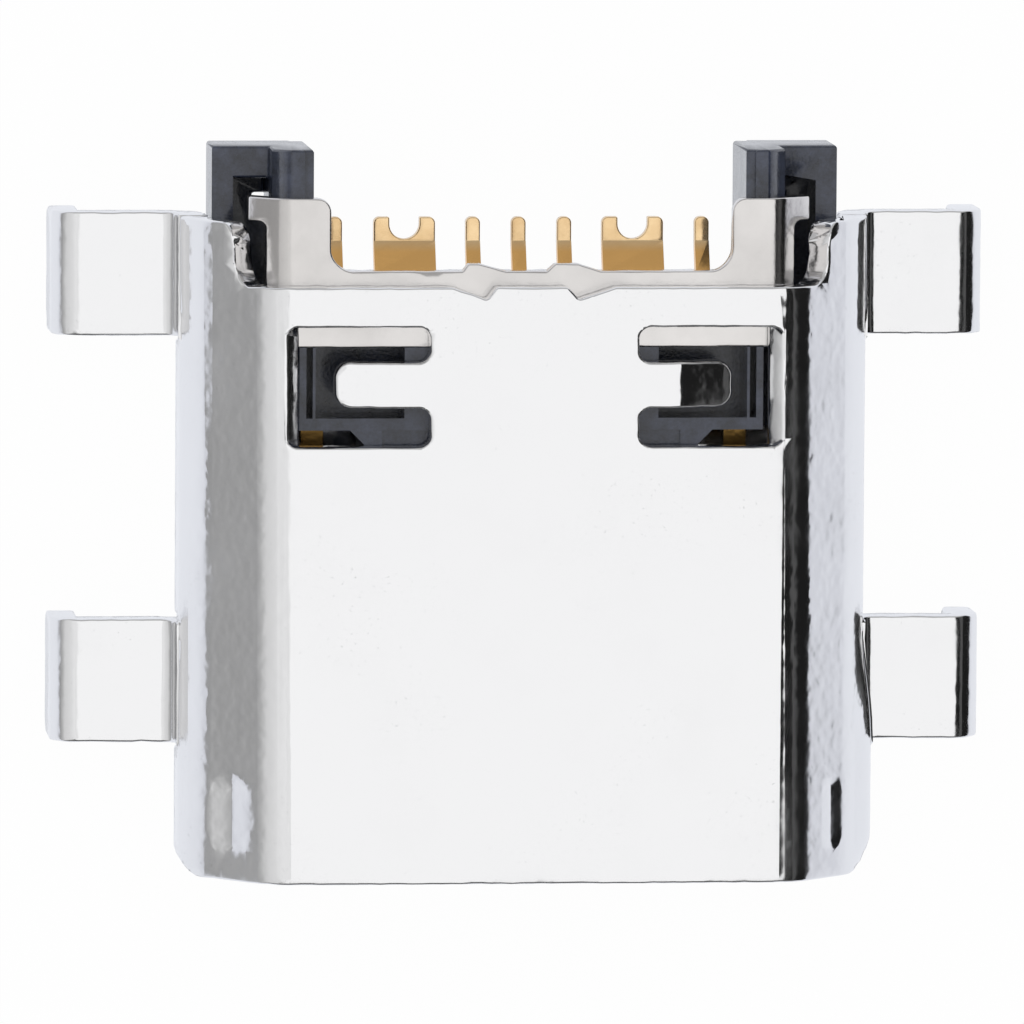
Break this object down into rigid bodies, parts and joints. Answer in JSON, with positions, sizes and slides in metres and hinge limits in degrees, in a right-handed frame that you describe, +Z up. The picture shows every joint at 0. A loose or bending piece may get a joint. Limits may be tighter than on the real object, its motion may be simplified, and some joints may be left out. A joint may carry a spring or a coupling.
{
  "type": "micro usb socket",
  "caption": "Board-mounted micro USB socket: folded metal shell with bent ears and legs, plastic housing with a contact tongue, and solder tails at the rear.",
  "frame": {"origin": "centre of the bounding box's bottom, level with the four leg tips", "axes": "+X across the socket, +Y from the plug mouth towards the solder tails, +Z up, away from the circuit board"},
  "size_m": [0.0102, 0.008, 0.0028],
  "materials": {
    "nickel_shell": "bright nickel plating with fine wear",
    "satin_plate": "satin nickel plating",
    "black_plastic": "moulded black liquid crystal polymer",
    "gold_plate": "thin gold plating on copper alloy"
  },
  "bodies": {
    "root": {"shell": "nickel_shell", "rear_plate": "satin_plate", "housing": "black_plastic", "outer_terminal_left": "gold_plate", "supply_terminal": "gold_plate", "data_minus_terminal": "gold_plate", "data_plus_terminal": "gold_plate", "identity_terminal": "gold_plate", "ground_terminal": "gold_plate", "outer_terminal_right": "gold_plate"}
  },
  "joints": []
}
